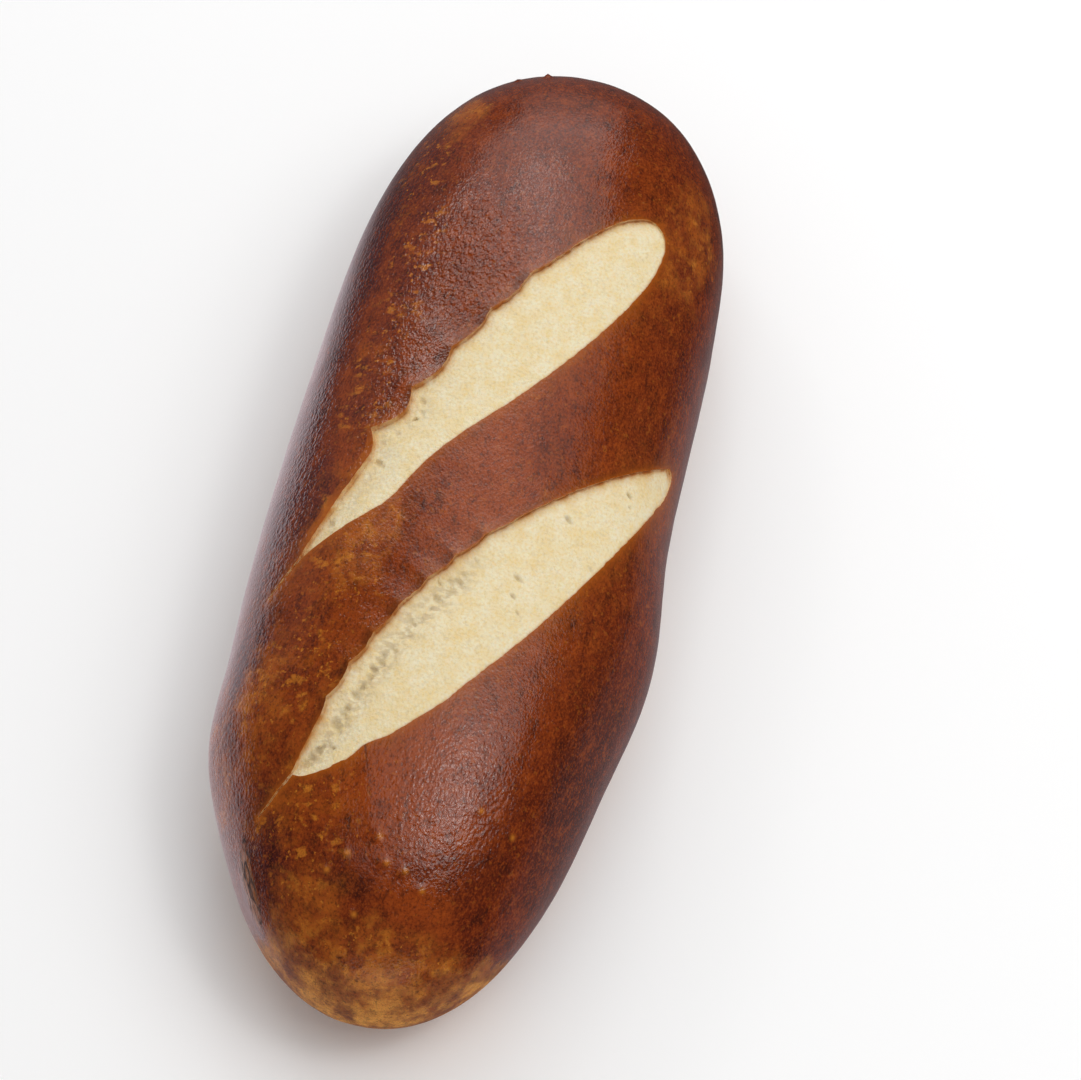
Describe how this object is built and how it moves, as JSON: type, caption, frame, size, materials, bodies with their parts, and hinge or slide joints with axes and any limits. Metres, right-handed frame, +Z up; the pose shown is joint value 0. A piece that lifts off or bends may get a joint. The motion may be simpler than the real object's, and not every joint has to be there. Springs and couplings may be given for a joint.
{
  "type": "pretzel sub roll",
  "caption": "Long baked roll with rounded ends, a flat sole and a shiny brown crust, slashed slantwise across the top so that pale crumb shows under torn, lifted ears.",
  "frame": {"origin": "centre of the roll's box in plan, on the flat sole", "axes": "+X along the roll to its narrower end, +Z up from the sole to the slashed top"},
  "size_m": [0.19, 0.073, 0.0499],
  "materials": {
    "crust": null
  },
  "bodies": {
    "root": {"roll": "crust"}
  },
  "joints": []
}
